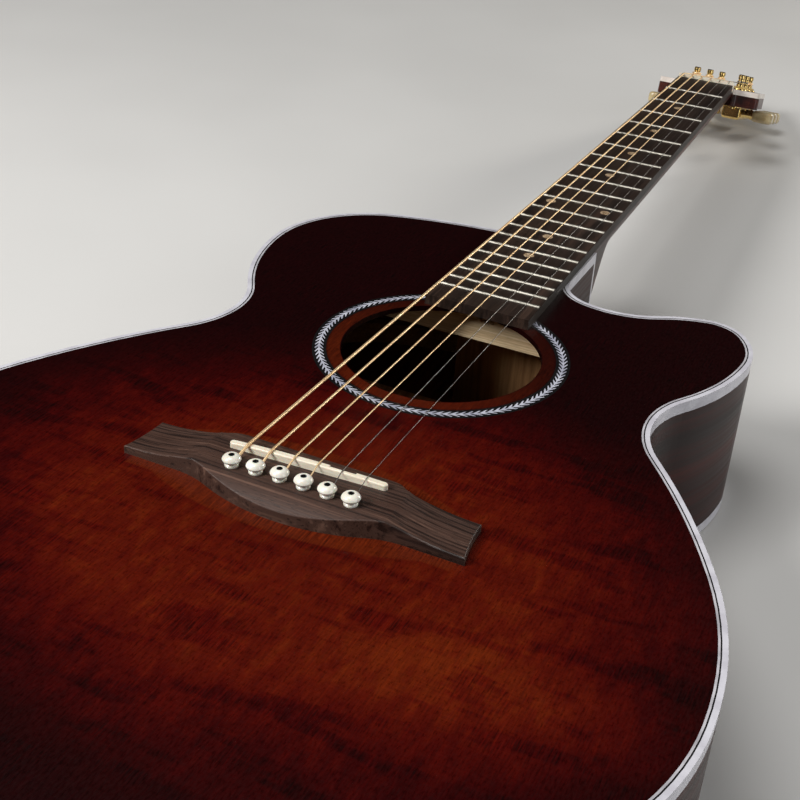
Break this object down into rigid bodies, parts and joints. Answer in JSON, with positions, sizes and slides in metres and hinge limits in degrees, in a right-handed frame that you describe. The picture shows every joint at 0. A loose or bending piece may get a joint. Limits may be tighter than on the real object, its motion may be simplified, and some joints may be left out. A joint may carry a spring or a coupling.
{
  "type": "acoustic guitar",
  "caption": "Steel-string acoustic guitar with a cutaway, dark red sunburst top, belly bridge, bound body and geared tuners, for strumming and fingerpicking.",
  "frame": {"origin": "centre of the soundhole on the outer face of the top", "axes": "+Y towards the headstock, +X towards the treble side, +Z out of the top"},
  "size_m": [0.3686, 1.0022, 0.121],
  "materials": {
    "top_spruce": "gloss lacquer over a dark red sunburst stain",
    "side_wood": "gloss lacquer over dark red-brown stain",
    "light_wood": "bare pale softwood",
    "block_wood": "bare hardwood",
    "binding": "polished cream white plastic",
    "black_line": "black fibre strip under lacquer",
    "neck_wood": "satin lacquer over dark red-brown stain",
    "overlay_wood": "gloss lacquered dark veneer",
    "fingerboard_wood": "oiled dark rosewood",
    "steel": "bright steel",
    "fret_metal": "polished nickel silver",
    "pearl": "warm pearloid",
    "ivory": "polished ivory white",
    "gold": "gold plated",
    "cream_button": "cream pearloid button on a gold shaft",
    "wound_string": "bronze winding",
    "plain_string": "plain steel",
    "strap_plastic": "ivory white plastic"
  },
  "bodies": {
    "guitar": {"soundboard": "top_spruce", "back_plate": "side_wood", "bass_side": "side_wood", "treble_side": "side_wood", "top_lining": "light_wood", "back_lining": "light_wood", "x_braces": "light_wood", "transverse_brace": "light_wood", "tone_bars": "light_wood", "back_braces": "light_wood", "back_strip": "light_wood", "neck_block": "block_wood", "tail_block": "block_wood", "bridge_plate": "block_wood", "top_binding": "binding", "back_binding": "binding", "purfling_white": "binding", "cutaway_trim": "binding", "headstock_binding": "binding", "purfling_black": "black_line", "rosette": "black_line", "neck": "neck_wood", "heel_cap": "neck_wood", "headstock_overlay": "overlay_wood", "fingerboard": "fingerboard_wood", "bridge": "fingerboard_wood", "truss_rod": "steel", "frets": "fret_metal", "position_dots": "pearl", "nut": "ivory", "saddle": "ivory", "tuner_housings": "gold", "tuner_bushings": "gold", "tuner_screws": "gold", "string_1": "wound_string", "string_2": "wound_string", "string_3": "wound_string", "string_4": "wound_string", "string_5": "plain_string", "string_6": "plain_string", "strap_button": "strap_plastic"},
    "truss_rod_nut": {"truss_rod_nut": "steel"},
    "bridge_pin_1": {"bridge_pin_1": "ivory"},
    "bridge_pin_2": {"bridge_pin_2": "ivory"},
    "bridge_pin_3": {"bridge_pin_3": "ivory"},
    "bridge_pin_4": {"bridge_pin_4": "ivory"},
    "bridge_pin_5": {"bridge_pin_5": "ivory"},
    "bridge_pin_6": {"bridge_pin_6": "ivory"},
    "tuner_key_1": {"tuner_key_1": "cream_button"},
    "tuner_post_1": {"tuner_post_1": "gold"},
    "tuner_key_2": {"tuner_key_2": "cream_button"},
    "tuner_post_2": {"tuner_post_2": "gold"},
    "tuner_key_3": {"tuner_key_3": "cream_button"},
    "tuner_post_3": {"tuner_post_3": "gold"},
    "tuner_key_4": {"tuner_key_4": "cream_button"},
    "tuner_post_4": {"tuner_post_4": "gold"},
    "tuner_key_5": {"tuner_key_5": "cream_button"},
    "tuner_post_5": {"tuner_post_5": "gold"},
    "tuner_key_6": {"tuner_key_6": "cream_button"},
    "tuner_post_6": {"tuner_post_6": "gold"}
  },
  "joints": [
    {"name": "truss_rod_nut_turn", "type": "hinge", "parent": "guitar", "child": "truss_rod_nut", "pos_m": [0, 0.09, -0.008], "axis": [0, 1, 0], "range_deg": [-180, 180]},
    {"name": "bridge_pin_1_pull", "type": "slide", "parent": "guitar", "child": "bridge_pin_1", "axis": [0, 0, 1], "range_m": [0, 0.03]},
    {"name": "bridge_pin_2_pull", "type": "slide", "parent": "guitar", "child": "bridge_pin_2", "axis": [0, 0, 1], "range_m": [0, 0.03]},
    {"name": "bridge_pin_3_pull", "type": "slide", "parent": "guitar", "child": "bridge_pin_3", "axis": [0, 0, 1], "range_m": [0, 0.03]},
    {"name": "bridge_pin_4_pull", "type": "slide", "parent": "guitar", "child": "bridge_pin_4", "axis": [0, 0, 1], "range_m": [0, 0.03]},
    {"name": "bridge_pin_5_pull", "type": "slide", "parent": "guitar", "child": "bridge_pin_5", "axis": [0, 0, 1], "range_m": [0, 0.03]},
    {"name": "bridge_pin_6_pull", "type": "slide", "parent": "guitar", "child": "bridge_pin_6", "axis": [0, 0, 1], "range_m": [0, 0.03]},
    {"name": "tuner_key_1_turn", "type": "hinge", "parent": "guitar", "child": "tuner_key_1", "pos_m": [-0.0187, 0.55341, -0.02667], "axis": [-1, 0, 0], "continuous": true},
    {"name": "tuner_post_1_turn", "type": "hinge", "parent": "guitar", "child": "tuner_post_1", "pos_m": [-0.0187, 0.56426, -0.0124], "axis": [0, 0.2756, 0.9613], "continuous": true},
    {"name": "tuner_key_2_turn", "type": "hinge", "parent": "guitar", "child": "tuner_key_2", "pos_m": [-0.0156, 0.59186, -0.03769], "axis": [-1, 0, 0], "continuous": true},
    {"name": "tuner_post_2_turn", "type": "hinge", "parent": "guitar", "child": "tuner_post_2", "pos_m": [-0.0156, 0.60271, -0.02343], "axis": [0, 0.2756, 0.9613], "continuous": true},
    {"name": "tuner_key_3_turn", "type": "hinge", "parent": "guitar", "child": "tuner_key_3", "pos_m": [-0.0125, 0.63031, -0.04872], "axis": [-1, 0, 0], "continuous": true},
    {"name": "tuner_post_3_turn", "type": "hinge", "parent": "guitar", "child": "tuner_post_3", "pos_m": [-0.0125, 0.64116, -0.03445], "axis": [0, 0.2756, 0.9613], "continuous": true},
    {"name": "tuner_key_4_turn", "type": "hinge", "parent": "guitar", "child": "tuner_key_4", "pos_m": [0.0125, 0.63031, -0.04872], "axis": [1, 0, 0], "continuous": true},
    {"name": "tuner_post_4_turn", "type": "hinge", "parent": "guitar", "child": "tuner_post_4", "pos_m": [0.0125, 0.64116, -0.03445], "axis": [0, 0.2756, 0.9613], "continuous": true},
    {"name": "tuner_key_5_turn", "type": "hinge", "parent": "guitar", "child": "tuner_key_5", "pos_m": [0.0156, 0.59186, -0.03769], "axis": [1, 0, 0], "continuous": true},
    {"name": "tuner_post_5_turn", "type": "hinge", "parent": "guitar", "child": "tuner_post_5", "pos_m": [0.0156, 0.60271, -0.02343], "axis": [0, 0.2756, 0.9613], "continuous": true},
    {"name": "tuner_key_6_turn", "type": "hinge", "parent": "guitar", "child": "tuner_key_6", "pos_m": [0.0187, 0.55341, -0.02667], "axis": [1, 0, 0], "continuous": true},
    {"name": "tuner_post_6_turn", "type": "hinge", "parent": "guitar", "child": "tuner_post_6", "pos_m": [0.0187, 0.56426, -0.0124], "axis": [0, 0.2756, 0.9613], "continuous": true}
  ],
  "couplings": [
    {"joint": "tuner_post_1_turn", "follows": "tuner_key_1_turn", "ratio": -0.071429},
    {"joint": "tuner_post_2_turn", "follows": "tuner_key_2_turn", "ratio": -0.071429},
    {"joint": "tuner_post_3_turn", "follows": "tuner_key_3_turn", "ratio": -0.071429},
    {"joint": "tuner_post_4_turn", "follows": "tuner_key_4_turn", "ratio": -0.071429},
    {"joint": "tuner_post_5_turn", "follows": "tuner_key_5_turn", "ratio": -0.071429},
    {"joint": "tuner_post_6_turn", "follows": "tuner_key_6_turn", "ratio": -0.071429}
  ]
}
